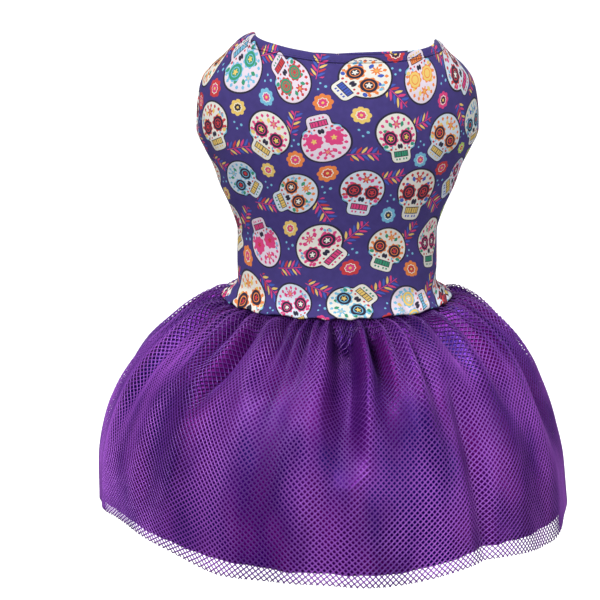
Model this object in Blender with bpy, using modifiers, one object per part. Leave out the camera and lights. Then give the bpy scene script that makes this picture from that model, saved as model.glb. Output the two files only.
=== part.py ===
"""A sleeveless dress for a small dog, upright and held open as it is worn.

+Z runs up through the neck, the dog's back faces -Y and its left side is -X. The origin is the
middle of the chest, where the dog's body carries the dress. All sizes are in metres.

Every piece of cloth starts as a flat grid, is laid over the body by a function of its own, and
is then thickened inward. Azimuths are degrees round Z from the middle of the back, toward +X.
"""

import math
from collections import namedtuple

import bmesh
import bpy
from mathutils import Vector

# Sizes of the dress
BODICE_LENGTH = 0.146
CHEST_WIDTH = 0.157
CHEST_DEPTH = 0.112
CHEST_BELOW_NECK = 0.042
SKIRT_LENGTH = 0.129
SKIRT_WIDTH = 0.2712
SKIRT_DEPTH = 0.260
SATIN_SHORTER = 0.007
WAIST_TUCK = 0.005

# Leg holes, as the clear opening inside their turned bands
LEG_HOLE_HEIGHT = 0.041
LEG_HOLE_WIDTH = 0.034
LEG_HOLE_BELOW_NECK = 0.0445
SIDE_SEAM_AZIMUTH = 104.0

# Cloth and seams
JERSEY_THICKNESS = 0.0012
SATIN_THICKNESS = 0.001
NET_THICKNESS = 0.001
NECK_HEM_WIDTH = 0.004
LEG_HEM_WIDTH = 0.005
HEM_THICKNESS = 0.002
HEM_STANDS_PROUD = 0.0004
SEAM_GAP = 0.0004
WAIST_GAP = 0.0006
SKIRT_GAP = 0.0005

# Gathers and folds of the skirt
GATHERS = 18
GATHER_DEPTH = 0.0016
GATHER_WANDER = 0.9
GATHER_FULL_RUN = 0.2
GATHER_FADE_RUN = 0.4
GATHER_HEM_FADE = 0.55
FOLD_DEPTH = 0.0055
FOLD_RISE_RUN = 0.12
FOLD_FADE_RUN = 0.15

# Grid sizes, with the rows under the leg hole as shares of the height there
BACK_COLUMNS = 24
BELLY_COLUMNS = 16
LEG_HOLE_STEPS = 8
LOWER_ROWS = (0.0, 0.05, 0.12, 0.35, 0.60, 0.83)
NECK_COLUMNS = 48
SKIRT_COLUMNS = 90
HEM_STEPS = 2

# Steps that a surface's slope is measured over, in degrees and as a share of its length
AZIMUTH_STEP = 0.5
ALONG_STEP = 0.004
MERGE = 1e-6

# One row for each level of the body, as shares of the bodice's length, of half the chest's
# width and of half its depth
Section = namedtuple("Section", "height width back_depth belly_depth")
SECTIONS = [
    Section(0.000, 0.832, 0.964, 0.930),
    Section(0.024, 0.758, 0.893, 0.857),
    Section(0.062, 0.718, 0.848, 0.820),
    Section(0.144, 0.721, 0.840, 0.820),
    Section(0.253, 0.718, 0.848, 0.840),
    Section(0.349, 0.767, 0.884, 0.893),
    Section(0.445, 0.845, 0.929, 0.964),
    Section(0.521, 0.893, 0.964, 1.018),
    Section(0.589, 0.955, 0.991, 1.054),
    Section(0.658, 1.000, 1.000, 1.070),
    Section(0.726, 0.997, 0.991, 1.054),
    Section(0.795, 0.983, 0.964, 1.018),
    Section(0.849, 0.960, 0.929, 0.964),
    Section(0.897, 0.898, 0.866, 0.893),
    Section(0.942, 0.805, 0.786, 0.800),
    Section(0.979, 0.738, 0.730, 0.730),
    Section(1.003, 0.675, 0.685, 0.685),
    Section(1.027, 0.590, 0.645, 0.645),
]

# The neck's edge as a share of the bodice's length: level over the back, cut low at the throat
NeckEdge = namedtuple("NeckEdge", "azimuth height")
NECK_EDGE = [
    NeckEdge(-180, 0.885),
    NeckEdge(-150, 0.905),
    NeckEdge(-120, 0.955),
    NeckEdge(-90, 1.027),
    NeckEdge(-50, 1.016),
    NeckEdge(-25, 1.001),
    NeckEdge(0, 0.986),
    NeckEdge(30, 0.984),
    NeckEdge(60, 0.991),
    NeckEdge(90, 0.999),
    NeckEdge(120, 0.945),
    NeckEdge(150, 0.905),
    NeckEdge(180, 0.885),
]
NECK_EDGE_STARTS = 0.55

# The skirt's side from the waist to the hem. Reach and lean are shares of the flare from the
# waist to the hem and of half the skirt's width, and drop is a share of the skirt's length.
Profile = namedtuple("Profile", "run reach drop lean")
PROFILE = [
    Profile(0.00, 0.000, 0.000, 0.000),
    Profile(0.03, 0.020, 0.009, 0.000),
    Profile(0.08, 0.126, 0.014, 0.000),
    Profile(0.15, 0.268, 0.054, 0.000),
    Profile(0.25, 0.460, 0.136, -0.002),
    Profile(0.36, 0.659, 0.256, -0.018),
    Profile(0.50, 0.804, 0.411, -0.028),
    Profile(0.64, 0.908, 0.578, -0.028),
    Profile(0.80, 0.976, 0.767, -0.022),
    Profile(1.00, 1.000, 1.000, -0.012),
]

# How far the net's hem is lifted round the skirt, as a share of the skirt's length, and how
# much shorter the satin is there, as a share of its usual difference
HemEdge = namedtuple("HemEdge", "azimuth lift satin")
HEM_EDGE = [
    HemEdge(-180, 0.050, 1.00),
    HemEdge(-95, 0.055, 1.00),
    HemEdge(-78, 0.090, 0.80),
    HemEdge(-62, 0.112, 0.70),
    HemEdge(-45, 0.085, 0.80),
    HemEdge(-27, 0.022, 1.20),
    HemEdge(-10, 0.022, 0.90),
    HemEdge(12, 0.004, 0.90),
    HemEdge(38, 0.048, 1.10),
    HemEdge(65, 0.004, 1.40),
    HemEdge(80, 0.045, 1.00),
    HemEdge(100, 0.050, 1.00),
    HemEdge(180, 0.050, 1.00),
]

# The skirt's main folds. Widths and slants are degrees, depths are shares of the fold depth,
# and a negative depth stands out as a ridge. Top and bottom are places on the skirt's run.
Fold = namedtuple("Fold", "azimuth half_width depth top bottom slant")
FOLDS = [
    Fold(-66, 9, 0.45, 0.10, 0.60, 0),
    Fold(-50, 8, 0.40, 0.35, 0.80, 0),
    Fold(-38, 8, 0.85, 0.05, 0.50, -2),
    Fold(-24, 7, 0.45, 0.05, 0.40, -2),
    Fold(-12, 6, 0.40, 0.05, 0.35, 0),
    Fold(1, 7, 1.00, 0.04, 0.60, 3),
    Fold(13, 6, 0.65, 0.04, 0.30, 0),
    Fold(22, 6, -0.35, 0.08, 0.50, 6),
    Fold(36, 7, 0.45, 0.30, 1.00, 2),
    Fold(52, 8, 0.60, 0.05, 0.45, 0),
    Fold(70, 9, 0.40, 0.10, 0.60, 0),
]


def smooth_curve(rows, place, value):
    """A function that runs smoothly through one column of a table, with no overshoot."""
    places = [getattr(row, place) for row in rows]
    values = [getattr(row, value) for row in rows]
    spans = [after - before for before, after in zip(places, places[1:])]
    slopes = [(b - a) / span for a, b, span in zip(values, values[1:], spans)]
    tangents = [slopes[0]]
    for before, after in zip(slopes, slopes[1:]):
        tangents.append(2 * before * after / (before + after) if before * after > 0 else 0.0)
    tangents.append(slopes[-1])

    def value_at(at):
        at = min(max(at, places[0]), places[-1])
        k = max(i for i in range(len(spans)) if places[i] <= at)
        t = (at - places[k]) / spans[k]
        ease = t * t * (3 - 2 * t)
        start = tangents[k] * spans[k] * t * (1 - t) ** 2
        end = tangents[k + 1] * spans[k] * t * t * (t - 1)
        return values[k] + (values[k + 1] - values[k]) * ease + start + end

    return value_at


width_at = smooth_curve(SECTIONS, "height", "width")
back_depth_at = smooth_curve(SECTIONS, "height", "back_depth")
belly_depth_at = smooth_curve(SECTIONS, "height", "belly_depth")
neck_edge_at = smooth_curve(NECK_EDGE, "azimuth", "height")
reach_at = smooth_curve(PROFILE, "run", "reach")
drop_at = smooth_curve(PROFILE, "run", "drop")
lean_at = smooth_curve(PROFILE, "run", "lean")
hem_lift_at = smooth_curve(HEM_EDGE, "azimuth", "lift")
satin_share_at = smooth_curve(HEM_EDGE, "azimuth", "satin")


def smoothstep(low, high, at):
    t = min(max((at - low) / (high - low), 0.0), 1.0)
    return t * t * (3 - 2 * t)


def wrapped(azimuth):
    """The same azimuth between -180 and 180."""
    return (azimuth + 180) % 360 - 180


def bodice_surface(azimuth, height):
    """The outside of the jersey at this height over the waist edge, from 0 to 1 at the neck."""
    edge = neck_edge_at(wrapped(azimuth)) - 1
    level = height + edge * smoothstep(NECK_EDGE_STARTS, 1.0, height)
    turn = math.radians(azimuth)
    toward_back = math.cos(turn)
    depth = back_depth_at(level) if toward_back > 0 else belly_depth_at(level)
    x = CHEST_WIDTH / 2 * width_at(level) * math.sin(turn)
    y = -CHEST_DEPTH / 2 * depth * toward_back
    return Vector((x, y, CHEST_BELOW_NECK - BODICE_LENGTH * (1 - level)))


def inside(surface, azimuth, along, inward):
    """The point this far inside a surface, which climbs as along grows."""
    across = surface(azimuth + AZIMUTH_STEP, along) - surface(azimuth - AZIMUTH_STEP, along)
    climb = surface(azimuth, along + ALONG_STEP) - surface(azimuth, along - ALONG_STEP)
    return surface(azimuth, along) - across.cross(climb).normalized() * inward


def bodice(azimuth, height, inward=0.0):
    return inside(bodice_surface, azimuth, height, inward)


def fold_depth(azimuth, run):
    """How far the skirt's folds and gathers sink in here."""
    turn = math.radians(azimuth)
    wander = GATHER_WANDER * (math.sin(3 * turn) + math.sin(5 * turn + 1))
    fullness = smoothstep(0, GATHER_FULL_RUN, run)
    fullness *= 1 - GATHER_HEM_FADE * smoothstep(GATHER_FADE_RUN, 1, run)
    depth = GATHER_DEPTH * fullness * math.cos(GATHERS * turn + wander)
    for fold in FOLDS:
        away = wrapped(azimuth - fold.azimuth - fold.slant * run) / fold.half_width
        if abs(away) < 1:
            rise = smoothstep(fold.top, fold.top + FOLD_RISE_RUN, run)
            fade = smoothstep(fold.bottom + FOLD_FADE_RUN, fold.bottom - FOLD_FADE_RUN, run)
            depth += FOLD_DEPTH * fold.depth * (1 + math.cos(math.pi * away)) / 2 * rise * fade
    return depth


def skirt_shape(azimuth, run):
    """The smooth form of the net, without folds. A run under 0 is tucked up inside the bodice."""
    tuck = JERSEY_THICKNESS + WAIST_GAP
    waist = bodice(azimuth, max(-run, 0.0) * WAIST_TUCK / BODICE_LENGTH, tuck)
    if run <= 0:
        return waist
    turn = math.radians(azimuth)
    reach = reach_at(run)
    lift = hem_lift_at(wrapped(azimuth)) * run * run
    lean = SKIRT_WIDTH / 2 * lean_at(run)
    x = waist.x * (1 - reach) + SKIRT_WIDTH / 2 * math.sin(turn) * reach + lean
    y = waist.y * (1 - reach) - SKIRT_DEPTH / 2 * math.cos(turn) * reach
    return Vector((x, y, waist.z - SKIRT_LENGTH * drop_at(run) * (1 - lift)))


def climbing_skirt(azimuth, rise):
    """The skirt's smooth form again, counted upward from the hem as the bodice is."""
    return skirt_shape(azimuth, -rise)


def skirt(azimuth, run, inward):
    depth = fold_depth(azimuth, run) if run > 0 else 0.0
    return inside(climbing_skirt, azimuth, -run, inward + depth)


def cloth(name, columns, rows, place, thickness, material):
    """A flat grid laid in place by place(across, along), both 0 to 1, and thickened inward."""
    form = bmesh.new()
    bmesh.ops.create_grid(form, x_segments=columns, y_segments=rows, size=0.5)
    for vert in form.verts:
        vert.co = place(vert.co.x + 0.5, vert.co.y + 0.5)
    bmesh.ops.remove_doubles(form, verts=form.verts, dist=MERGE)
    mesh = bpy.data.meshes.new(name)
    form.to_mesh(mesh)
    form.free()
    mesh.shade_smooth()
    mesh.materials.append(material)
    piece = bpy.data.objects.new(name, mesh)
    collection.objects.link(piece)
    wall = piece.modifiers.new("Thickness", "SOLIDIFY")
    wall.thickness = thickness
    wall.offset = -1.0
    wall.use_even_offset = True
    return piece


def finish(name, colour, roughness):
    material = bpy.data.materials.new(name)
    material.use_nodes = True
    shader = material.node_tree.nodes["Principled BSDF"]
    shader.inputs["Base Color"].default_value = (*colour, 1.0)
    shader.inputs["Roughness"].default_value = roughness
    shader.inputs["Metallic"].default_value = 0.0
    return material


# The leg hole's ellipse, cut in both panels on the side seam
chest_radius = (CHEST_WIDTH + CHEST_DEPTH) / 4
degrees_per_metre = math.degrees(1 / chest_radius)
seam_gap_degrees = SEAM_GAP / 2 * degrees_per_metre
hole_level = 1 - LEG_HOLE_BELOW_NECK / BODICE_LENGTH


def leg_hole_axes(margin):
    """Half width in degrees and half height as a share of the bodice, this far past the hole."""
    half_width = (LEG_HOLE_WIDTH / 2 + margin) * degrees_per_metre
    return half_width, (LEG_HOLE_HEIGHT / 2 + margin) / BODICE_LENGTH


def panel_levels():
    """The rows of both panels: closer together up the leg hole, so that its edge is round."""
    half_height = leg_hole_axes(LEG_HEM_WIDTH + SEAM_GAP)[1]
    bottom = hole_level - half_height
    top = hole_level + half_height
    panel_top = 1 - (NECK_HEM_WIDTH + SEAM_GAP) / BODICE_LENGTH
    levels = [share * bottom for share in LOWER_ROWS]
    for step in range(LEG_HOLE_STEPS + 1):
        levels.append(hole_level - half_height * math.cos(math.pi * step / LEG_HOLE_STEPS))
    return levels + [(top + panel_top) / 2, panel_top]


def panel_edge(level):
    """How far the leg hole takes each panel's side edge back from the seam, in degrees."""
    half_width, half_height = leg_hole_axes(LEG_HEM_WIDTH + SEAM_GAP)
    away = (level - hole_level) / half_height
    notch = half_width * math.sqrt(max(1 - away * away, 0.0))
    return max(notch, seam_gap_degrees)


def panel(name, middle, half_turn, columns, material):
    """A jersey panel that runs half_turn degrees each way from its middle, leg holes cut."""
    levels = panel_levels()

    def place(across, along):
        level = levels[round(along * (len(levels) - 1))]
        return bodice(middle + (2 * across - 1) * (half_turn - panel_edge(level)), level)

    return cloth(name, columns, len(levels) - 1, place, JERSEY_THICKNESS, material)


def neck_hem(material):
    """The turned band along the neck's edge."""

    def place(across, along):
        height = 1 - NECK_HEM_WIDTH / BODICE_LENGTH * (1 - along)
        return bodice(360 * across - 180, height, -HEM_STANDS_PROUD)

    return cloth("neck_hem", NECK_COLUMNS, HEM_STEPS, place, HEM_THICKNESS, material)


def leg_hem(name, side, material):
    """The turned band round one leg hole, a ring on the bodice. Side is -1 left or 1 right."""
    columns = 2 * LEG_HOLE_STEPS

    def place(across, along):
        half_width, half_height = leg_hole_axes(LEG_HEM_WIDTH * (1 - along))
        turn = 2 * math.pi * across
        azimuth = side * SIDE_SEAM_AZIMUTH + half_width * math.sin(turn)
        return bodice(azimuth, hole_level - half_height * math.cos(turn), -HEM_STANDS_PROUD)

    return cloth(name, columns, HEM_STEPS, place, HEM_THICKNESS, material)


def skirt_layer(name, inward, shorter, thickness, material):
    """One layer of the skirt, from its tuck in the bodice down to its hem."""
    runs = [-1.0] + [row.run for row in PROFILE]
    runs.reverse()

    def place(across, along):
        azimuth = 360 * across - 180
        run = runs[round(along * (len(runs) - 1))]
        hem = 1 - shorter / SKIRT_LENGTH * satin_share_at(azimuth)
        return skirt(azimuth, min(run, hem), inward)

    return cloth(name, SKIRT_COLUMNS, len(runs) - 1, place, thickness, material)


for old in list(bpy.data.objects):
    bpy.data.objects.remove(old)
collection = bpy.data.collections.new("dog_dress")
bpy.context.scene.collection.children.link(collection)

printed_jersey = finish("printed_jersey", (0.051, 0.038, 0.168), 0.75)
plain_jersey = finish("plain_jersey", (0.051, 0.038, 0.168), 0.8)
satin = finish("satin", (0.16, 0.04, 0.35), 0.35)
net = finish("net", (0.19, 0.06, 0.40), 0.55)

panel("back_panel", 0, SIDE_SEAM_AZIMUTH, BACK_COLUMNS, printed_jersey)
panel("belly_panel", 180, 180 - SIDE_SEAM_AZIMUTH, BELLY_COLUMNS, plain_jersey)
neck_hem(printed_jersey)
leg_hem("leg_hem_left", -1, printed_jersey)
leg_hem("leg_hem_right", 1, printed_jersey)
skirt_layer("net_skirt", 0.0, 0.0, NET_THICKNESS, net)
skirt_layer("satin_underskirt", NET_THICKNESS + SKIRT_GAP, SATIN_SHORTER, SATIN_THICKNESS, satin)
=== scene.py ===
# %% [markdown]
# # A small dog's dress, finished in Blender
# The dress arrives as a fixed frame: seven plain solids at their real size, in metres. This
# script builds the cloth that is seen around that frame: printed jersey, turned hems with their
# stitches, a shiny satin skirt and a skirt of real net over it.

# %% Load the frame
import math
from collections import namedtuple

import bpy
import numpy as np
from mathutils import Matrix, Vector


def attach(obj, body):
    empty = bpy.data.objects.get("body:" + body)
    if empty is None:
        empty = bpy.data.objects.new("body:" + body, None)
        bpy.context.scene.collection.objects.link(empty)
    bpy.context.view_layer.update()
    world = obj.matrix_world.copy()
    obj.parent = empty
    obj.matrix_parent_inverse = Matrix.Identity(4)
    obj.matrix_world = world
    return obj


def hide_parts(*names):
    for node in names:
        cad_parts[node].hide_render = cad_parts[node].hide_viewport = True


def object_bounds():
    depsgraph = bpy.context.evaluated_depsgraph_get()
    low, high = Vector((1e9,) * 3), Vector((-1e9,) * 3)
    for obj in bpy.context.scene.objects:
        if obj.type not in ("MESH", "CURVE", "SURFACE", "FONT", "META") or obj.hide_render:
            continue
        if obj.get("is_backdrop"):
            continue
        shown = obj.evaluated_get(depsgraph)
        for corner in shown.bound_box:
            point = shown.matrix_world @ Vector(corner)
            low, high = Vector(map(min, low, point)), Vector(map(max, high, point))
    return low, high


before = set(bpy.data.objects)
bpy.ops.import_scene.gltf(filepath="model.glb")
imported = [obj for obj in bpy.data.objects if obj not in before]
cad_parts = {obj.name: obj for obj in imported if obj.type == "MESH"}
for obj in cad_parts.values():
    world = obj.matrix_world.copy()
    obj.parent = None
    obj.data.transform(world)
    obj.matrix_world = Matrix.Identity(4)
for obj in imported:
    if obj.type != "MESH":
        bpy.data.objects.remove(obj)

cad_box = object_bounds()
MM = 0.001
print("nodes in the frame:", sorted(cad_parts))

# %% [markdown]
# ## The sizes and the tables of the form
# A dress has no straight lines, so its form is kept in short tables: one row for each level of
# the body, one for each place on the skirt's side. A smooth curve through each column fills in
# what lies between. Azimuths are degrees round Z from the middle of the back, toward +X.

# %% Sizes and tables
BODICE_LENGTH = 0.146
CHEST_WIDTH = 0.157
CHEST_DEPTH = 0.112
CHEST_HEIGHT = 0.104
SKIRT_LENGTH = 0.129
SKIRT_WIDTH = 0.2712
SKIRT_DEPTH = 0.260
SATIN_SHORTER = 0.007
WAIST_TUCK = 0.005
LEG_HOLE_HEIGHT = 0.041
LEG_HOLE_WIDTH = 0.034
LEG_HOLE_LEVEL = 0.1015 / BODICE_LENGTH
SIDE_SEAM_AZIMUTH = 104.0
JERSEY_THICKNESS = 0.0012
SATIN_THICKNESS = 0.0007
NET_THICKNESS = 0.0010
NECK_HEM_WIDTH = 0.004
LEG_HEM_WIDTH = 0.005
SEAM_GAP = 0.0003
WAIST_GAP = 0.0006
SKIRT_GAP = 0.0006

Section = namedtuple("Section", "height width back_depth belly_depth")
SECTIONS = [
    Section(0.000, 0.832, 0.964, 0.930),
    Section(0.024, 0.758, 0.893, 0.857),
    Section(0.062, 0.718, 0.848, 0.820),
    Section(0.144, 0.721, 0.840, 0.820),
    Section(0.253, 0.718, 0.848, 0.840),
    Section(0.349, 0.767, 0.884, 0.893),
    Section(0.445, 0.845, 0.929, 0.964),
    Section(0.521, 0.893, 0.964, 1.018),
    Section(0.589, 0.955, 0.991, 1.054),
    Section(0.658, 1.000, 1.000, 1.070),
    Section(0.726, 0.997, 0.991, 1.054),
    Section(0.795, 0.983, 0.964, 1.018),
    Section(0.849, 0.960, 0.929, 0.964),
    Section(0.897, 0.898, 0.866, 0.893),
    Section(0.942, 0.805, 0.786, 0.800),
    Section(0.979, 0.738, 0.730, 0.730),
    Section(1.003, 0.675, 0.685, 0.685),
    Section(1.027, 0.590, 0.645, 0.645),
]

NeckEdge = namedtuple("NeckEdge", "azimuth height")
NECK_EDGE = [
    NeckEdge(-180, 0.885),
    NeckEdge(-150, 0.905),
    NeckEdge(-120, 0.955),
    NeckEdge(-90, 1.027),
    NeckEdge(-50, 1.016),
    NeckEdge(-25, 1.001),
    NeckEdge(0, 0.986),
    NeckEdge(30, 0.984),
    NeckEdge(60, 0.991),
    NeckEdge(90, 0.999),
    NeckEdge(120, 0.945),
    NeckEdge(150, 0.905),
    NeckEdge(180, 0.885),
]
NECK_EDGE_STARTS = 0.55

Profile = namedtuple("Profile", "run reach drop lean")
PROFILE = [
    Profile(0.00, 0.000, 0.000, 0.000),
    Profile(0.03, 0.020, 0.009, 0.000),
    Profile(0.08, 0.126, 0.014, 0.000),
    Profile(0.15, 0.268, 0.054, 0.000),
    Profile(0.25, 0.460, 0.136, -0.002),
    Profile(0.36, 0.659, 0.256, -0.018),
    Profile(0.50, 0.804, 0.411, -0.028),
    Profile(0.64, 0.908, 0.578, -0.028),
    Profile(0.80, 0.976, 0.767, -0.022),
    Profile(1.00, 1.000, 1.000, -0.012),
]

HemEdge = namedtuple("HemEdge", "azimuth lift satin")
HEM_EDGE = [
    HemEdge(-180, 0.050, 1.00),
    HemEdge(-95, 0.055, 1.00),
    HemEdge(-78, 0.090, 0.80),
    HemEdge(-62, 0.112, 0.70),
    HemEdge(-45, 0.085, 0.80),
    HemEdge(-27, 0.022, 1.20),
    HemEdge(-10, 0.022, 0.90),
    HemEdge(12, 0.004, 0.90),
    HemEdge(38, 0.048, 1.10),
    HemEdge(65, 0.004, 1.40),
    HemEdge(80, 0.045, 1.00),
    HemEdge(100, 0.050, 1.00),
    HemEdge(180, 0.050, 1.00),
]


def smooth_curve(rows, place, value):
    """A function on arrays that runs smoothly through one column, with no overshoot."""
    places = np.array([getattr(row, place) for row in rows], float)
    values = np.array([getattr(row, value) for row in rows], float)
    spans = np.diff(places)
    slopes = np.diff(values) / spans
    before, after = slopes[:-1], slopes[1:]
    same_way = before * after > 0
    total = np.where(same_way, before + after, 1.0)
    middle = np.where(same_way, 2 * before * after / total, 0.0)
    tangents = np.concatenate([slopes[:1], middle, slopes[-1:]])

    def value_at(at):
        at = np.clip(at, places[0], places[-1])
        k = np.clip(np.searchsorted(places, at, side="right") - 1, 0, len(spans) - 1)
        t = (at - places[k]) / spans[k]
        start = tangents[k] * spans[k] * t * (1 - t) ** 2
        end = tangents[k + 1] * spans[k] * t * t * (t - 1)
        return values[k] + (values[k + 1] - values[k]) * t * t * (3 - 2 * t) + start + end

    return value_at


width_at = smooth_curve(SECTIONS, "height", "width")
back_depth_at = smooth_curve(SECTIONS, "height", "back_depth")
belly_depth_at = smooth_curve(SECTIONS, "height", "belly_depth")
neck_edge_at = smooth_curve(NECK_EDGE, "azimuth", "height")
reach_at = smooth_curve(PROFILE, "run", "reach")
drop_at = smooth_curve(PROFILE, "run", "drop")
lean_at = smooth_curve(PROFILE, "run", "lean")
hem_lift_at = smooth_curve(HEM_EDGE, "azimuth", "lift")
satin_share_at = smooth_curve(HEM_EDGE, "azimuth", "satin")
print("chest girth about", round(math.pi * (CHEST_WIDTH + CHEST_DEPTH) / 2 / MM), "mm")

# %% [markdown]
# ## Surfaces as functions
# Each cloth follows a function that turns an azimuth and a height into a point. numpy works the
# whole grid out at once. The cloth's thickness and the layers under it are steps along the
# surface's own normal, so that they keep their distance on every curve. The jersey also has
# what sewing and wear leave in it: fine puckers over the gathered seam and a few soft dents.


# %% The bodice's surface
def smoothstep(low, high, at):
    t = np.clip((at - low) / (high - low), 0.0, 1.0)
    return t * t * (3 - 2 * t)


def wrapped(azimuth):
    """The same azimuth between -180 and 180."""
    return (azimuth + 180.0) % 360.0 - 180.0


def bodice_surface(azimuth, height):
    """The outside of the jersey at this height over the waist edge, from 0 to 1 at the neck."""
    level = height + (neck_edge_at(wrapped(azimuth)) - 1) * smoothstep(NECK_EDGE_STARTS, 1.0, height)
    turn = np.radians(azimuth)
    toward_back = np.cos(turn)
    depth = np.where(toward_back > 0, back_depth_at(level), belly_depth_at(level))
    x = CHEST_WIDTH / 2 * width_at(level) * np.sin(turn)
    y = -CHEST_DEPTH / 2 * depth * toward_back
    return np.stack([x, y, BODICE_LENGTH * level - CHEST_HEIGHT], axis=-1)


AZIMUTH_STEP = 0.5
ALONG_STEP = 0.004


def normal_of(surface, azimuth, along):
    """The outward normal of a surface that climbs as along grows."""
    across = surface(azimuth + AZIMUTH_STEP, along) - surface(azimuth - AZIMUTH_STEP, along)
    climb = surface(azimuth, along + ALONG_STEP) - surface(azimuth, along - ALONG_STEP)
    normal = np.cross(across, climb)
    return normal / np.linalg.norm(normal, axis=-1, keepdims=True)


def inside(surface, azimuth, along, inward):
    inward = np.asarray(inward)[..., None]
    return surface(azimuth, along) - normal_of(surface, azimuth, along) * inward


PUCKERS = 46
PUCKER_DEPTH = 0.0006
PUCKER_HEIGHT = 0.07
WAIST_WAVE = 0.0006
Dent = namedtuple("Dent", "azimuth level slant half_width half_length depth")
DENTS = [
    Dent(-62, 0.30, 60, 10, 0.20, 0.0012),
    Dent(64, 0.34, -60, 10, 0.20, 0.0012),
    Dent(-30, 0.16, 70, 9, 0.13, 0.0009),
    Dent(36, 0.15, -80, 9, 0.13, 0.0009),
    Dent(-70, 0.55, 40, 9, 0.14, 0.0010),
    Dent(72, 0.60, -40, 9, 0.14, 0.0010),
    Dent(6, 0.86, 20, 16, 0.10, 0.0008),
]


def jersey_dents(azimuth, height):
    """How far the jersey's soft dents and the puckers over the waist seam sink in."""
    turn = np.radians(azimuth)
    wave = np.cos(PUCKERS * turn + 2.0 * np.sin(3 * turn) + 1.2 * np.sin(7 * turn))
    depth = PUCKER_DEPTH * wave * (1 - smoothstep(0.0, PUCKER_HEIGHT, height))
    for dent in DENTS:
        across = wrapped(azimuth - dent.azimuth - dent.slant * (height - dent.level)) / dent.half_width
        along = (height - dent.level) / dent.half_length
        depth = depth + dent.depth * np.exp(-2 * (across**2 + along**2))
    return depth


def jersey(azimuth, height, inward=0.0):
    """A point of the jersey with its dents, on its outside or this far inside."""
    points = inside(bodice_surface, azimuth, height, inward + jersey_dents(azimuth, height))
    pull = np.cos(23 * np.radians(azimuth) + 2 * np.sin(5 * np.radians(azimuth)))
    points[..., 2] += WAIST_WAVE * pull * (1 - smoothstep(0.0, 0.05, height))
    return points


print("the neck's left corner stands at", np.round(jersey(np.array(-90.0), np.array(1.0)), 4))

# %% [markdown]
# ## From a grid of points to cloth
# A grid of points with its faces is one mesh call. Each point also carries where it lies on the
# flat cloth, in metres, as a UV map: the print, the knit and the net's sparkle are drawn in those
# flat coordinates, so they foreshorten at the sides as a real print does.


# %% Helpers that make meshes
def collection_of(name):
    made = bpy.data.collections.new(name)
    bpy.context.scene.collection.children.link(made)
    return made


dress = collection_of("dog_dress")


def mesh_piece(name, points, faces, flat=None):
    """A smooth-shaded object from arrays of points and faces, with its flat coordinates."""
    mesh = bpy.data.meshes.new(name)
    mesh.from_pydata(points.reshape(-1, 3).tolist(), [], faces.tolist())
    if flat is not None:
        layer = mesh.uv_layers.new(name="flat")
        corners = np.zeros(len(mesh.loops), np.int32)
        mesh.loops.foreach_get("vertex_index", corners)
        layer.data.foreach_set("uv", flat.reshape(-1, 2)[corners].astype(np.float32).ravel())
    mesh.shade_smooth()
    piece = bpy.data.objects.new(name, mesh)
    dress.objects.link(piece)
    return piece


def grid_faces(rows, columns, closed=False):
    """Quads over a grid of points, facing outward when rows climb and columns go round."""
    across = columns if closed else columns - 1
    j, i = np.meshgrid(np.arange(across), np.arange(rows - 1))
    right = (j + 1) % columns
    quads = [i * columns + j, i * columns + right, (i + 1) * columns + right, (i + 1) * columns + j]
    return np.stack(quads, axis=-1).reshape(-1, 4)


def thicken(piece, thickness):
    wall = piece.modifiers.new("Thickness", "SOLIDIFY")
    wall.thickness = thickness
    wall.offset = -1.0
    wall.use_even_offset = True


def triangles(piece):
    mesh = piece.evaluated_get(bpy.context.evaluated_depsgraph_get()).to_mesh()
    return sum(len(face.vertices) - 2 for face in mesh.polygons)


print("pieces go into the collection", dress.name)

# %% [markdown]
# ## Flat coordinates of the jersey
# The print is laid on the cloth before it is sewn. Its across coordinate is the way round the
# body at each level, measured from the middle of the back, and its other coordinate is the way
# up the middle of the back. Both are sums of the small steps of a fine grid.

# %% Measure the way round and the way up
FLAT_AZIMUTHS = np.linspace(-181, 181, 725)
FLAT_LEVELS = np.linspace(-0.02, 1.02, 209)
CHEST_ROW = 140


def flat_lengths():
    levels, azimuths = np.meshgrid(FLAT_LEVELS, FLAT_AZIMUTHS, indexing="ij")
    points = bodice_surface(azimuths, levels)
    steps = np.linalg.norm(np.diff(points, axis=1), axis=-1)
    around = np.concatenate([np.zeros((len(FLAT_LEVELS), 1)), np.cumsum(steps, axis=1)], axis=1)
    middle = len(FLAT_AZIMUTHS) // 2
    around = around - around[:, middle : middle + 1]
    climb = np.linalg.norm(np.diff(points[:, middle], axis=0), axis=-1)
    return around, np.concatenate([[0.0], np.cumsum(climb)])


AROUND, UPWARD = flat_lengths()


def flat_jersey(azimuth, height):
    """Where a point of the bodice lies on the flat cloth, in metres."""
    azimuth, height = np.broadcast_arrays(azimuth, height)
    row = np.interp(height, FLAT_LEVELS, np.arange(len(FLAT_LEVELS)))
    column = np.interp(azimuth, FLAT_AZIMUTHS, np.arange(len(FLAT_AZIMUTHS)))
    i = np.clip(row.astype(int), 0, len(FLAT_LEVELS) - 2)
    j = np.clip(column.astype(int), 0, len(FLAT_AZIMUTHS) - 2)
    s, t = row - i, column - j
    low = AROUND[i, j] * (1 - t) + AROUND[i, j + 1] * t
    high = AROUND[i + 1, j] * (1 - t) + AROUND[i + 1, j + 1] * t
    return np.stack([low * (1 - s) + high * s, np.interp(height, FLAT_LEVELS, UPWARD)], axis=-1)


print("the jersey is", round(np.ptp(AROUND[CHEST_ROW]) / MM), "mm round the chest")

# %% [markdown]
# ## The two jersey panels
# Each panel is a loft between its two side edges. The leg hole is an ellipse centred on the side
# seam, so it simply takes both panels' edges back from the seam. Rows crowd together at the top
# and bottom of the hole, where its edge turns.

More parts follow.
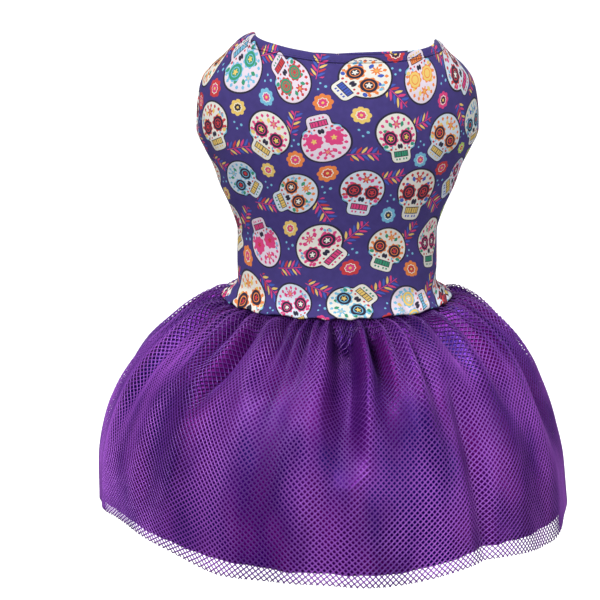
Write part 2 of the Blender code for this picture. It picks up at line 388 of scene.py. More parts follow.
# %% Panels
HOLE_ROWS = 41
ROWS_BELOW_HOLE = 49
ROWS_ABOVE_HOLE = 13
BACK_COLUMNS = 150
BELLY_COLUMNS = 110
chest_radius = (CHEST_WIDTH + CHEST_DEPTH) / 4
degrees_per_metre = math.degrees(1 / chest_radius)


def leg_hole_axes(margin):
    """Half width in degrees and half height as a share of the bodice, this far past the hole."""
    half_width = (LEG_HOLE_WIDTH / 2 + margin) * degrees_per_metre
    return half_width, (LEG_HOLE_HEIGHT / 2 + margin) / BODICE_LENGTH


def panel_levels():
    half_height = leg_hole_axes(LEG_HEM_WIDTH + SEAM_GAP)[1]
    bottom, top = LEG_HOLE_LEVEL - half_height, LEG_HOLE_LEVEL + half_height
    panel_top = 1 - (NECK_HEM_WIDTH + SEAM_GAP) / BODICE_LENGTH
    hole = LEG_HOLE_LEVEL - half_height * np.cos(np.linspace(0, math.pi, HOLE_ROWS))
    lower = bottom * np.linspace(0, 1, ROWS_BELOW_HOLE + 1)[:-1] ** 1.25
    upper = np.linspace(top, panel_top, ROWS_ABOVE_HOLE + 1)[1:]
    return np.concatenate([lower, hole, upper])


def panel(name, middle, half_turn, columns):
    levels = panel_levels()
    half_width, half_height = leg_hole_axes(LEG_HEM_WIDTH + SEAM_GAP)
    away = (levels - LEG_HOLE_LEVEL) / half_height
    notch = half_width * np.sqrt(np.clip(1 - away**2, 0, None))
    edge = half_turn - np.maximum(notch, SEAM_GAP / 2 * degrees_per_metre)
    azimuths = middle + edge[:, None] * np.linspace(-1, 1, columns)[None, :]
    heights = np.broadcast_to(levels[:, None], azimuths.shape)
    flat = flat_jersey(wrapped(azimuths), heights)
    if middle:
        flat = flat_jersey(azimuths - 180, heights) + [np.ptp(AROUND[CHEST_ROW]) / 2, 0]
    faces = grid_faces(len(levels), columns)
    piece = mesh_piece(name, jersey(azimuths, heights), faces, flat)
    thicken(piece, JERSEY_THICKNESS)
    return piece


back_panel = panel("back_panel_jersey", 0, SIDE_SEAM_AZIMUTH, BACK_COLUMNS)
belly_panel = panel("belly_panel_jersey", 180, 180 - SIDE_SEAM_AZIMUTH, BELLY_COLUMNS)
print("panels:", triangles(back_panel), "and", triangles(belly_panel), "triangles")

# %% [markdown]
# ## Turned hems
# The neck and the leg holes end in cloth folded over and stitched down. Such a hem is a flat
# roll: a rounded section carried along the edge, a little thicker than one layer, with a groove
# where the stitching pulls it in.

# %% Hems
HEM_THICKNESS = 0.0021
HEM_STANDS_PROUD = 0.0005
HEM_ROUNDNESS = 0.55
HEM_GROOVE = 0.0005
GROOVE_WIDTH = 0.09
STITCH_LINE = 0.72
SECTION_POINTS = 28
NECK_COLUMNS = 300
LEG_COLUMNS = 120


def hem_section():
    """The roll's outline: how far along its width, 0 to 1, and how far inward."""
    turn = np.linspace(0, 2 * math.pi, SECTION_POINTS, endpoint=False)
    along = 0.5 + 0.5 * np.sign(np.cos(turn)) * np.abs(np.cos(turn)) ** HEM_ROUNDNESS
    depth = 0.5 + 0.5 * np.sign(np.sin(turn)) * np.abs(np.sin(turn)) ** HEM_ROUNDNESS
    inward = HEM_THICKNESS * depth - HEM_STANDS_PROUD
    groove = HEM_GROOVE * np.exp(-(((along - 1 + STITCH_LINE) / GROOVE_WIDTH) ** 2))
    return along, inward + np.where(depth < 0.5, groove, 0.0)


def ring_piece(name, points, flat):
    """A closed ring from a grid of sections by columns, closed both ways."""
    sections, columns = points.shape[:2]
    faces = grid_faces(sections + 1, columns, closed=True) % (sections * columns)
    return mesh_piece(name, points, faces, flat)


def neck_hem():
    along, inward = hem_section()
    azimuths = np.linspace(-180, 180, NECK_COLUMNS, endpoint=False)
    along, azimuths = np.meshgrid(along, azimuths, indexing="ij")
    heights = 1 - NECK_HEM_WIDTH / BODICE_LENGTH * (1 - along)
    points = jersey(azimuths, heights, np.broadcast_to(inward[:, None], azimuths.shape))
    return ring_piece("neck_hem_roll", points, flat_jersey(azimuths, heights))


def leg_hem(name, side):
    """The ring round one leg hole. Side is -1 for the dog's left or 1 for its right."""
    along, inward = hem_section()
    turns = np.linspace(0, 2 * math.pi, LEG_COLUMNS, endpoint=False)
    along, turns = np.meshgrid(along, turns, indexing="ij")
    half_width, half_height = leg_hole_axes(LEG_HEM_WIDTH * (1 - along))
    azimuths = side * SIDE_SEAM_AZIMUTH + half_width * np.sin(turns)
    heights = LEG_HOLE_LEVEL - half_height * np.cos(turns)
    points = jersey(azimuths, heights, np.broadcast_to(inward[:, None], azimuths.shape))
    return ring_piece(name, points, flat_jersey(azimuths, heights))


neck_roll = neck_hem()
leg_roll_left = leg_hem("leg_hem_left_roll", -1)
leg_roll_right = leg_hem("leg_hem_right_roll", 1)
print("neck hem:", triangles(neck_roll), "triangles")

# %% [markdown]
# ## The skirt's form
# Both skirt layers share one surface: a dome that leaves the waist nearly level and falls to an
# uneven hem. Gathers start at the seam as many small pleats and open into fewer soft folds. The
# largest folds are rows of a table, placed where they are seen. Their widths and slants are
# degrees, their tops and bottoms are shares of the way down, and a depth under 0 is a ridge.
# Sharp leans a fold to one side, as cloth does when it falls over.

# %% The skirt's surface and its folds
Fold = namedtuple("Fold", "azimuth half_width depth top bottom slant sharp")
FOLD_DEPTH = 0.0055
FOLD_RISE_RUN = 0.12
FOLD_FADE_RUN = 0.15
FOLDS = [
    Fold(-70, 7, 1.00, 0.04, 0.55, 0, 0.3),
    Fold(-50, 8, 0.60, 0.30, 0.85, 0, 0.0),
    Fold(-47, 5, 1.10, 0.02, 0.26, 5, 0.0),
    Fold(-35, 7, 2.00, 0.02, 0.36, -14, 0.5),
    Fold(-22, 6, 1.20, 0.02, 0.26, -3, 0.0),
    Fold(-13, 4, 1.00, 0.02, 0.20, 0, 0.3),
    Fold(-6, 5, -0.70, 0.03, 0.50, 2, 0.0),
    Fold(1.5, 7, 3.30, 0.01, 0.52, 3, -0.5),
    Fold(9, 4, -0.60, 0.03, 0.40, 2, 0.0),
    Fold(14, 5, 2.10, 0.01, 0.30, 0, -0.4),
    Fold(23, 3, -0.60, 0.04, 0.50, 8, 0.0),
    Fold(29, 6, 1.60, 0.02, 0.38, 5, 0.4),
    Fold(37, 6, 0.90, 0.25, 1.00, 2, 0.5),
    Fold(46, 5, 1.20, 0.02, 0.30, 0, 0.0),
    Fold(57, 7, 1.20, 0.02, 0.42, -2, 0.3),
    Fold(76, 8, 0.80, 0.04, 0.60, 0, 0.0),
    Fold(92, 5, 1.10, 0.02, 0.28, 3, 0.0),
    Fold(104, 7, 1.60, 0.02, 0.45, -4, -0.4),
    Fold(121, 6, 1.20, 0.02, 0.30, 0, 0.3),
    Fold(136, 8, 0.80, 0.20, 0.95, 3, 0.4),
    Fold(149, 6, 1.90, 0.02, 0.40, 3, 0.4),
    Fold(166, 5, 1.10, 0.02, 0.26, 0, 0.0),
    Fold(-176, 7, 1.80, 0.02, 0.48, -3, -0.4),
    Fold(-158, 5, 1.20, 0.02, 0.28, 2, 0.0),
    Fold(-143, 8, 0.90, 0.15, 0.90, -4, -0.4),
    Fold(-128, 6, 1.70, 0.02, 0.36, 4, 0.4),
    Fold(-110, 5, 1.00, 0.02, 0.26, 0, 0.0),
    Fold(-92, 7, 1.50, 0.02, 0.45, -3, 0.4),
]
GATHERS = 18
GATHER_DEPTH = 0.0016
GATHER_WANDER = 0.9
GATHER_FULL_RUN = 0.2
GATHER_FADE_RUN = 0.4
GATHER_HEM_FADE = 0.55
PLEATS = 47
PLEAT_DEPTH = 0.0021


def fold_depth(azimuth, run):
    """How far the folds, gathers and pleats sink in here."""
    turn = np.radians(azimuth)
    wander = GATHER_WANDER * (np.sin(3 * turn) + np.sin(5 * turn + 1))
    fullness = smoothstep(0, GATHER_FULL_RUN, run)
    fullness = fullness * (1 - GATHER_HEM_FADE * smoothstep(GATHER_FADE_RUN, 1, run))
    depth = GATHER_DEPTH * fullness * np.cos(GATHERS * turn + wander)
    pleat = np.cos(PLEATS * turn + 3 * np.sin(4 * turn) + 2 * np.sin(9 * turn + 2))
    depth = depth + PLEAT_DEPTH * pleat * smoothstep(0.0, 0.06, run) * smoothstep(0.42, 0.08, run)
    for fold in FOLDS:
        away = wrapped(azimuth - fold.azimuth - fold.slant * run) / fold.half_width
        away = np.clip(away, -1, 1)
        away = away + fold.sharp * away * (1 - np.abs(away)) + fold.sharp * 0.35 * (1 - away**2)
        rise = smoothstep(fold.top, fold.top + FOLD_RISE_RUN, run)
        fade = smoothstep(fold.bottom + FOLD_FADE_RUN, fold.bottom - FOLD_FADE_RUN, run)
        depth = depth + FOLD_DEPTH * fold.depth * (1 + np.cos(math.pi * away)) / 2 * rise * fade
    return depth


def skirt_shape(azimuth, run):
    """The net's smooth form, without folds. A run under 0 is tucked up inside the bodice."""
    tuck = np.full(np.shape(azimuth), JERSEY_THICKNESS + WAIST_GAP)
    height = np.maximum(-run, 0.0) * WAIST_TUCK / BODICE_LENGTH
    waist = inside(bodice_surface, azimuth, height, tuck)
    reach = np.where(run > 0, reach_at(run), 0.0)
    fall = np.where(run > 0, drop_at(run), 0.0)
    lean = np.where(run > 0, lean_at(run), 0.0) * SKIRT_WIDTH / 2
    lift = hem_lift_at(wrapped(azimuth)) * run * run
    turn = np.radians(azimuth)
    x = waist[..., 0] * (1 - reach) + SKIRT_WIDTH / 2 * np.sin(turn) * reach + lean
    y = waist[..., 1] * (1 - reach) - SKIRT_DEPTH / 2 * np.cos(turn) * reach
    return np.stack([x, y, waist[..., 2] - SKIRT_LENGTH * fall * (1 - lift)], axis=-1)


def climbing_skirt(azimuth, rise):
    """The smooth form counted upward from the hem, as the bodice is."""
    return skirt_shape(azimuth, -rise)


def skirt(azimuth, run, inward):
    """A point of the folded skirt, this far inside the net's outer face."""
    azimuth, run = np.broadcast_arrays(np.asarray(azimuth, float), np.asarray(run, float))
    depth = np.where(run > 0, fold_depth(azimuth, run), 0.0)
    return inside(climbing_skirt, azimuth, -run, inward + depth)


SLANT_RUNS = np.linspace(0, 1, 101)
slant_points = skirt_shape(np.zeros(101), SLANT_RUNS)
slant_steps = np.linalg.norm(np.diff(slant_points, axis=0), axis=-1)
SLANTS = np.concatenate([[0.0], np.cumsum(slant_steps)])
SLANT_LENGTH = SLANTS[-1]
print("the skirt is", round(SLANT_LENGTH / MM), "mm long down its front")

# %% [markdown]
# ## The satin underskirt
# Satin gives the skirt its body and its shine. It is one gathered sheet, thickened, with its
# flat coordinates measured along the cloth. Two layers never lie evenly on each other, so the
# satin billows back from the net between the places where they touch, and its cut edge waves.

# %% Satin
HEM_GIRTH = math.pi * (SKIRT_WIDTH + SKIRT_DEPTH) / 2
SATIN_COLUMNS = 620
SATIN_ROWS = 60
BILLOW_DEPTH = 0.0012
FRAY_SHARE = 0.0025


def run_at(slant):
    """The place on the skirt's run that lies this far down the cloth."""
    return np.interp(slant, SLANTS, SLANT_RUNS)


def billows(azimuth, run):
    """How far the satin sinks back from the net between the places where they touch."""
    turn = np.radians(azimuth)
    wave = np.sin(13 * turn + 2.5 * np.sin(2 * turn) + 5 * run)
    wave = wave * np.sin(9 * run + 4 * np.sin(5 * turn))
    return BILLOW_DEPTH * (1 + wave) * smoothstep(0.12, 0.4, run) * smoothstep(1.0, 0.8, run)


def satin_underskirt():
    azimuths = np.linspace(-180, 180, SATIN_COLUMNS, endpoint=False)
    downs = np.concatenate([[-1.0], np.linspace(0, 1, SATIN_ROWS)])[::-1]
    downs, azimuths = np.meshgrid(downs, azimuths, indexing="ij")
    hem = 1 - SATIN_SHORTER / SLANT_LENGTH * satin_share_at(azimuths)
    turn = np.radians(azimuths)
    frayed = FRAY_SHARE * np.sin(41 * turn) * np.sin(13 * turn + 1)
    runs = np.where(downs > 0, run_at(downs * SLANT_LENGTH * (hem + frayed)), downs)
    flat = np.stack([azimuths / 360 * HEM_GIRTH, -downs * SLANT_LENGTH], axis=-1)
    faces = grid_faces(SATIN_ROWS + 1, SATIN_COLUMNS, closed=True)
    inward = NET_THICKNESS + SKIRT_GAP + billows(azimuths, runs)
    piece = mesh_piece("satin_cloth", skirt(azimuths, runs, inward), faces, flat)
    thicken(piece, SATIN_THICKNESS)
    return piece


satin_cloth = satin_underskirt()
print("satin:", triangles(satin_cloth), "triangles")

# %% [markdown]
# ## The net skirt
# Net is mostly holes, so a painted pattern on a sheet looks flat. Here each thread is real: the
# flat cloth is a square lattice laid at a slant of about 50 degrees, and every thread of it is
# followed over the gathered surface. The slant is chosen so that a whole number of cells goes
# round and each thread meets the next under the belly. A thread is a three-sided rod, which is
# enough at this size.

# %% Threads of the net
NET_PITCH = 0.0023
NET_CELLS_ALONG = (236, 281)
THREAD_WIDTH = 0.0009
THREAD_STEP = 0.0045
cells_round = math.hypot(*NET_CELLS_ALONG)
net_slant = math.atan2(NET_CELLS_ALONG[1], NET_CELLS_ALONG[0])
net_width = NET_PITCH * cells_round


def net_point(around, down, inward):
    """A point of the net from its flat place: metres along its width and down from the waist."""
    return skirt(around / net_width * 360 - 180, run_at(down), inward)


def thread_family(slant, count):
    """All threads of one direction: flat points and the rods round them."""
    length = SLANT_LENGTH / abs(math.sin(slant))
    steps = max(int(length / THREAD_STEP), 2)
    along = np.linspace(0, length, steps + 1)
    starts = np.arange(count) * net_width / count
    around = starts[:, None] + along[None, :] * math.cos(slant)
    down = np.broadcast_to(along[None, :] * abs(math.sin(slant)), around.shape)
    return around, down


def thread_rods(around, down):
    """Three points round every point of every thread."""
    middle = NET_THICKNESS / 2
    here = net_point(around, down, middle)
    out = net_point(around, down, 0.0) - here
    out = out / np.linalg.norm(out, axis=-1, keepdims=True)
    ahead = np.gradient(here, axis=1)
    ahead = ahead / np.linalg.norm(ahead, axis=-1, keepdims=True)
    side = np.cross(out, ahead)
    corners = []
    for turn in (90, 210, 330):
        rise, swing = math.sin(math.radians(turn)), math.cos(math.radians(turn))
        corners.append(here + THREAD_WIDTH / 2 * (0.7 * rise * out + swing * side))
    return np.stack(corners, axis=2)


def rod_sides(rods, steps, corners):
    """The side faces of many rods whose points are listed rod by rod, ring by ring."""
    r, s, c = np.meshgrid(np.arange(rods), np.arange(steps - 1), np.arange(corners), indexing="ij")
    first = (r * steps + s) * corners
    after = (c + 1) % corners
    quad = [first + c, first + after, first + corners + after, first + corners + c]
    return np.stack(quad, axis=-1).reshape(-1, 4)


def rod_faces(threads, steps, start):
    """Sides and end caps of all the threads, counted from the first point's number."""
    sides = rod_sides(threads, steps, 3) + start
    ends = start + np.arange(threads) * steps * 3
    near = np.stack([ends + 2, ends + 1, ends], axis=-1)
    far = np.stack([ends, ends + 1, ends + 2], axis=-1) + (steps - 1) * 3
    return sides.tolist() + near.tolist() + far.tolist()


def net_skirt():
    points, flats, faces, start = [], [], [], 0
    families = (
        (net_slant, NET_CELLS_ALONG[1]),
        (net_slant + math.pi / 2, NET_CELLS_ALONG[0]),
    )
    for slant, count in families:
        around, down = thread_family(slant, count)
        rods = thread_rods(around, down)
        faces += rod_faces(*around.shape, start)
        points.append(rods.reshape(-1, 3))
        flat = np.stack([around, SLANT_LENGTH - down], axis=-1)
        flats.append(np.repeat(flat[:, :, None], 3, axis=2).reshape(-1, 2))
        start += points[-1].shape[0]
    mesh = bpy.data.meshes.new("net_threads")
    mesh.from_pydata(np.concatenate(points).tolist(), [], faces)
    corners = np.zeros(len(mesh.loops), np.int32)
    mesh.loops.foreach_get("vertex_index", corners)
    layer = mesh.uv_layers.new(name="flat")
    layer.data.foreach_set("uv", np.concatenate(flats)[corners].astype(np.float32).ravel())
    mesh.shade_smooth()
    piece = bpy.data.objects.new("net_threads", mesh)
    dress.objects.link(piece)
    return piece


net_threads = net_skirt()
print("net:", triangles(net_threads), "triangles, cloth", round(net_width, 3), "m wide")

# %% [markdown]
# ## Stitches
# A coverstitch holds each turned hem: on the outside it shows as a row of short straight stitches.
# Every stitch is a small rod with pointed ends that dips into the cloth, and all the stitches
# of one hem are one mesh.

# %% Rows of stitches
STITCH_LENGTH = 0.0022
STITCH_GAP = 0.0006
STITCH_THICKNESS = 0.00038


def stitches(name, path, out):
    """Stitches along a closed path of points, with the cloth's outward direction at each."""
    steps = np.linalg.norm(np.roll(path, -1, axis=0) - path, axis=-1)
    gone = np.concatenate([[0.0], np.cumsum(steps)])
    count = round(gone[-1] / (STITCH_LENGTH + STITCH_GAP))
    pitch = gone[-1] / count
    across = np.array([0.0, 0.15, 0.5, 0.85, 1.0])
    girth = np.array([0.35, 0.9, 1.0, 0.9, 0.35])
    height = np.array([-0.5, 0.25, 0.5, 0.25, -0.5]) * STITCH_THICKNESS
    at = np.arange(count)[:, None] * pitch + across[None, :] * (pitch - STITCH_GAP)
    closed_path = np.concatenate([path, path[:1]])
    closed_out = np.concatenate([out, out[:1]])
    here = np.stack([np.interp(at, gone, closed_path[:, k]) for k in range(3)], axis=-1)
    up = np.stack([np.interp(at, gone, closed_out[:, k]) for k in range(3)], axis=-1)
    up = up / np.linalg.norm(up, axis=-1, keepdims=True)
    ahead = here[:, -1:] - here[:, :1]
    ahead = ahead / np.linalg.norm(ahead, axis=-1, keepdims=True)
    side = np.cross(up, np.broadcast_to(ahead, up.shape))
    middle = here + up * height[None, :, None]
    turns = np.radians([45, 135, 225, 315])
    rings = []
    for turn in turns:
        reach = STITCH_THICKNESS / 2 * girth[None, :, None]
        rings.append(middle + reach * (math.sin(turn) * up + math.cos(turn) * side))
    points = np.stack(rings, axis=2)
    return mesh_piece(name, points, rod_sides(count, len(across), len(turns)))


def hem_stitches(name, azimuths, heights):
    out = normal_of(bodice_surface, azimuths, heights)
    lift = HEM_GROOVE - HEM_STANDS_PROUD - STITCH_THICKNESS * 0.3
    return stitches(name, jersey(azimuths, heights, np.full(azimuths.shape, lift)), out)


ring = np.linspace(-180, 180, 360, endpoint=False)
stitch_height = 1 - NECK_HEM_WIDTH / BODICE_LENGTH * STITCH_LINE
neck_stitches = hem_stitches("neck_stitches", ring, np.full(ring.shape, stitch_height))


def leg_stitches(name, side):
    turn = np.radians(ring)
    half_width, half_height = leg_hole_axes(LEG_HEM_WIDTH * STITCH_LINE)
    azimuths = side * SIDE_SEAM_AZIMUTH + half_width * np.sin(turn)
    return hem_stitches(name, azimuths, LEG_HOLE_LEVEL - half_height * np.cos(turn))


leg_stitches_left = leg_stitches("leg_stitches_left", -1)
leg_stitches_right = leg_stitches("leg_stitches_right", 1)
print("neck stitches:", triangles(neck_stitches), "triangles")

# %% [markdown]
# ## A small language for shaders
# Patterns are arithmetic on the flat coordinates. This class lets that arithmetic be written
# as plain Python: each operator adds one Math node. Anything else is added by one method.


# %% Shader arithmetic
class Value:
    """A number that varies over the cloth."""

    def __init__(self, graph, socket):
        self.graph = graph
        self.socket = socket

    def maths(self, operation, *others):
        inputs = dict(enumerate((self,) + others))
        return self.graph.node("ShaderNodeMath", {"operation": operation}, inputs)

    def __add__(self, other):
        return self.maths("ADD", other)

    def __sub__(self, other):
        return self.maths("SUBTRACT", other)

    def __mul__(self, other):
        return self.maths("MULTIPLY", other)

    def __truediv__(self, other):
        return self.maths("DIVIDE", other)

    def __rsub__(self, other):
        return self.graph.number(other).maths("SUBTRACT", self)

    def __rtruediv__(self, other):
        return self.graph.number(other).maths("DIVIDE", self)

    def __pow__(self, other):
        return self.maths("POWER", other)

    def __abs__(self):
        return self.maths("ABSOLUTE")

    def __lt__(self, other):
        return self.maths("LESS_THAN", other)

    def __gt__(self, other):
        return self.maths("GREATER_THAN", other)

    __radd__ = __add__
    __rmul__ = __mul__

    def cosine(self):
        return self.maths("COSINE")

    def floor(self):
        return self.maths("FLOOR")

    def fraction(self):
        return self.maths("FRACT")

    def least(self, other):
        return self.maths("MINIMUM", other)

    def most(self, other):
        return self.maths("MAXIMUM", other)


class Graph:
    """One material and the nodes that feed it."""

    def __init__(self, name, colour, roughness):
        self.material = bpy.data.materials.new(name)
        self.material.use_nodes = True
        self.tree = self.material.node_tree
        self.shader = self.tree.nodes["Principled BSDF"]
        self.put(self.shader.inputs["Base Color"], colour)
        self.put(self.shader.inputs["Roughness"], roughness)

    def put(self, socket, value):
        """Sets a socket to a number, a colour or a vector, or links a varying value to it."""
        if isinstance(value, Value):
            self.tree.links.new(value.socket, socket)
        elif isinstance(value, (int, float)):
            socket.default_value = value
        else:
            padded = tuple(value) + (1.0,) * (len(socket.default_value) - len(value))
            socket.default_value = padded

    def node(self, kind, settings, inputs, output=0):
        made = self.tree.nodes.new(kind)
        for name, value in settings.items():
            setattr(made, name, value)
        for name, value in inputs.items():
            self.put(made.inputs[name], value)
        return Value(self, made.outputs[output])

    def number(self, value):
        made = self.tree.nodes.new("ShaderNodeValue")
        made.outputs[0].default_value = value
        return Value(self, made.outputs[0])

    def vector(self, operation, *inputs, output=0):
        settings = {"operation": operation}
        return self.node("ShaderNodeVectorMath", settings, dict(enumerate(inputs)), output)

    def join(self, x, y):
        return self.node("ShaderNodeCombineXYZ", {}, {"X": x, "Y": y})

    def split(self, vector):
        made = self.tree.nodes.new("ShaderNodeSeparateXYZ")
        self.put(made.inputs[0], vector)
        return Value(self, made.outputs["X"]), Value(self, made.outputs["Y"])

    def mix(self, factor, first, second):
        inputs = {"Factor": factor, 6: first, 7: second}
        return self.node("ShaderNodeMix", {"data_type": "RGBA"}, inputs, 2)

    def noise(self, vector, scale):
        inputs = {"Vector": vector, "Scale": scale, "Detail": 2.0}
        return self.node("ShaderNodeTexNoise", {"noise_dimensions": "2D"}, inputs)

    def flat(self):
        """The flat cloth's coordinates, in millimetres."""
        place = self.node("ShaderNodeUVMap", {"uv_map": "flat"}, {})
        return self.vector("MULTIPLY", place, (1000, 1000, 0))

    def bump(self, height, distance):
        normal = self.node("ShaderNodeBump", {}, {"Height": height, "Distance": distance})
        self.put(self.shader.inputs["Normal"], normal)

    def set(self, **values):
        for name, value in values.items():
            self.put(self.shader.inputs[name.replace("_", " ").title()], value)


def colour(red, green, blue):
    """An sRGB colour, 0 to 255, as the linear values that shaders use."""
    shares = np.array([red, green, blue]) / 255
    return tuple(np.where(shares > 0.04045, ((shares + 0.055) / 1.055) ** 2.4, shares / 12.92))


print("the jersey's ground colour is", np.round(colour(64, 55, 114), 3))

# %% [markdown]
# ## The print
# The print is a repeat of sugar skulls with flowers, sprigs and dots between them. The cloth is
# divided into cells set like bricks. Each cell gets random numbers of its own, which turn its
# motif, size it and choose its colours. A slow noise shifts everything a little, so that the
# rows don't show. Such cloth is printed on one side only, so the jersey's reverse is pale.

# %% Cells of the print
CELL_WIDTH = 34.0
CELL_HEIGHT = 32.5
SKULL_HALF_HEIGHT = 14.0

INK = colour(36, 30, 58)
CREAM = colour(238, 235, 226)
MIST = colour(216, 226, 238)
SHELL = colour(232, 218, 232)
YELLOW = colour(240, 204, 110)
PINK = colour(226, 62, 130)
RED = colour(206, 54, 62)
ORANGE = colour(238, 134, 66)
SKY = colour(120, 190, 222)
BLUE = colour(66, 92, 190)
GREEN = colour(50, 152, 116)
LIME = colour(186, 212, 96)
REVERSE = colour(214, 208, 224)


def cells(graph, place, shift):
    """A place inside its cell, in millimetres from the middle, and the cell's three numbers."""
    x, y = graph.split(place)
    row = (y / CELL_HEIGHT).floor()
    across = x / CELL_WIDTH + (row * 0.5).fraction() + shift
    column = across.floor()
    inputs = {"Vector": graph.join(column + shift * 7, row)}
    lots = graph.node("ShaderNodeTexWhiteNoise", {"noise_dimensions": "2D"}, inputs, 1)
    middle_x = (across - column - 0.5) * CELL_WIDTH
    middle_y = (y / CELL_HEIGHT - row - 0.5) * CELL_HEIGHT
    return middle_x, middle_y, lots


def pick(graph, lot, colours):
    """One of several colours, chosen by a number from 0 to 1."""
    chosen = colours[0]
    for number, other in enumerate(colours[1:], 1):
        chosen = graph.mix(lot > number / len(colours), chosen, other)
    return chosen


def ellipse(graph, place, x, y, half_width, half_height):
    """1 at an ellipse's edge, less inside and more outside."""
    scale = (1 / half_width, 1 / half_height, 0)
    offset = (-x / half_width, -y / half_height, 0)
    return graph.vector("LENGTH", graph.vector("MULTIPLY_ADD", place, scale, offset), output=1)


def turn_of(graph, x, y):
    return y.maths("ARCTAN2", x)


print("a skull is about", round(2 * SKULL_HALF_HEIGHT), "mm high")

# %% [markdown]
# ## Drawing a skull
# A skull is an egg and a square jaw inside one dark outline. Its decoration is symmetrical, so
# the right half is drawn and the left half mirrored, by taking x without its sign.


# %% A skull
def draw_skull(graph, under, place):
    x, y, lots = cells(graph, place, 0.0)
    first, second = graph.split(lots)
    tilt = (first - 0.5) * 2.5 + math.pi * (second > 0.62)
    size = SKULL_HALF_HEIGHT * (0.92 + 0.14 * (first * 3.7).fraction())
    moved = graph.join((x + 4.0 * (second - 0.5)) / size, (y + 3.0 * (first - 0.5)) / size)
    inputs = {"Vector": moved, "Angle": tilt}
    local = graph.node("ShaderNodeVectorRotate", {"rotation_type": "Z_AXIS"}, inputs)
    x, y = graph.split(local)
    x = abs(x)
    half = graph.join(x, y)
    jaw = ((x / 0.44) ** 4.0 + (abs(y + 0.60) / 0.38) ** 4.0) ** 0.25
    edge = ellipse(graph, half, 0, 0.18, 0.86, 0.80).maths("SMOOTH_MIN", jaw, 0.12)
    painted = graph.mix(edge < 1.085, under, INK)
    painted = graph.mix(edge < 1.0, painted, pick(graph, second, (CREAM, MIST, CREAM, SHELL)))
    accent = pick(graph, (first * 7.3).fraction(), (PINK, SKY, ORANGE, RED))
    other = pick(graph, (second * 5.7).fraction(), (BLUE, YELLOW, GREEN, PINK))
    style = (first * 11.9).fraction()
    around = turn_of(graph, x, y - 0.10)
    out = graph.vector("LENGTH", graph.join(x, y - 0.10), output=1)
    beads = abs(out - 0.735) / 0.065 + 1.1 - (around * 18).cosine()
    painted = graph.mix((beads < 1.2) * (y > -0.25), painted, accent)
    rays = abs(out - 0.545) / 0.12 + 1.2 - (around * 10 + 1.6).cosine()
    painted = graph.mix((rays < 1.1) * (y > 0.12), painted, other)
    curl = abs(ellipse(graph, half, 0.52, -0.30, 0.17, 0.13) - 1.0)
    painted = graph.mix((curl < 0.17) * (style < 0.6), painted, SKY)
    tears = ellipse(graph, half, 0.70, 0.30, 0.05, 0.085).least(
        ellipse(graph, half, 0.60, 0.44, 0.045, 0.07)
    )
    painted = graph.mix((tears < 1.0) * (style > 0.5), painted, SKY)

    top_turn = turn_of(graph, x, y - 0.60)
    top = graph.vector("LENGTH", graph.join(x, y - 0.60), output=1)
    top = top - 0.05 * (top_turn * (6.0 + 2.0 * (style > 0.6))).cosine()
    painted = graph.mix(top < 0.14, painted, accent)
    painted = graph.mix(top < 0.03, painted, YELLOW)

    eye_turn = turn_of(graph, x - 0.36, y - 0.06)
    eye = ellipse(graph, half, 0.36, 0.06, 1.0, 1.0)
    painted = graph.mix(eye < 0.32 + 0.026 * (eye_turn * 9).cosine(), painted, accent)
    painted = graph.mix(eye < 0.275, painted, pick(graph, second, (INK, INK, INK, other)))
    painted = graph.mix(abs(eye - 0.165) < 0.018, painted, accent)
    pupil = pick(graph, style, (YELLOW, RED, CREAM))
    painted = graph.mix(eye < 0.085 + 0.03 * (eye_turn * 5 + 0.4).cosine(), painted, pupil)

    nose = ellipse(graph, half, 0.055, -0.29, 0.065, 0.105)
    painted = graph.mix(nose < 1.0, painted, INK)
    cheek = ellipse(graph, half, 0.60, -0.26, 0.09, 0.07)
    painted = graph.mix(cheek < 1.0, painted, other)
    dots = ellipse(graph, half, 0.42, -0.40, 0.05, 0.05).least(
        ellipse(graph, half, 0.22, -0.40, 0.04, 0.04)
    )
    painted = graph.mix(dots < 1.0, painted, RED)
    mouth = (x - 0.30).most(abs(y + 0.62) - 0.10)
    painted = graph.mix(mouth < 0.03, painted, INK)
    painted = graph.mix(mouth < 0.0, painted, pick(graph, second, (other, YELLOW, accent)))
    teeth = (x / 0.11).fraction() < 0.16
    painted = graph.mix(teeth * (mouth < 0.0), painted, INK)
    chin = (abs(y + 0.84) < 0.04) * ((x / 0.13 + 0.5).fraction() < 0.5)
    return graph.mix(chin * (x < 0.32), painted, other)


# %% [markdown]
# ## Flowers, sprigs and dots
# A second set of cells, shifted by half a cell, fills the gaps between the skulls: a flower on
# one end, a sprig of small leaves on the other, and three dots.


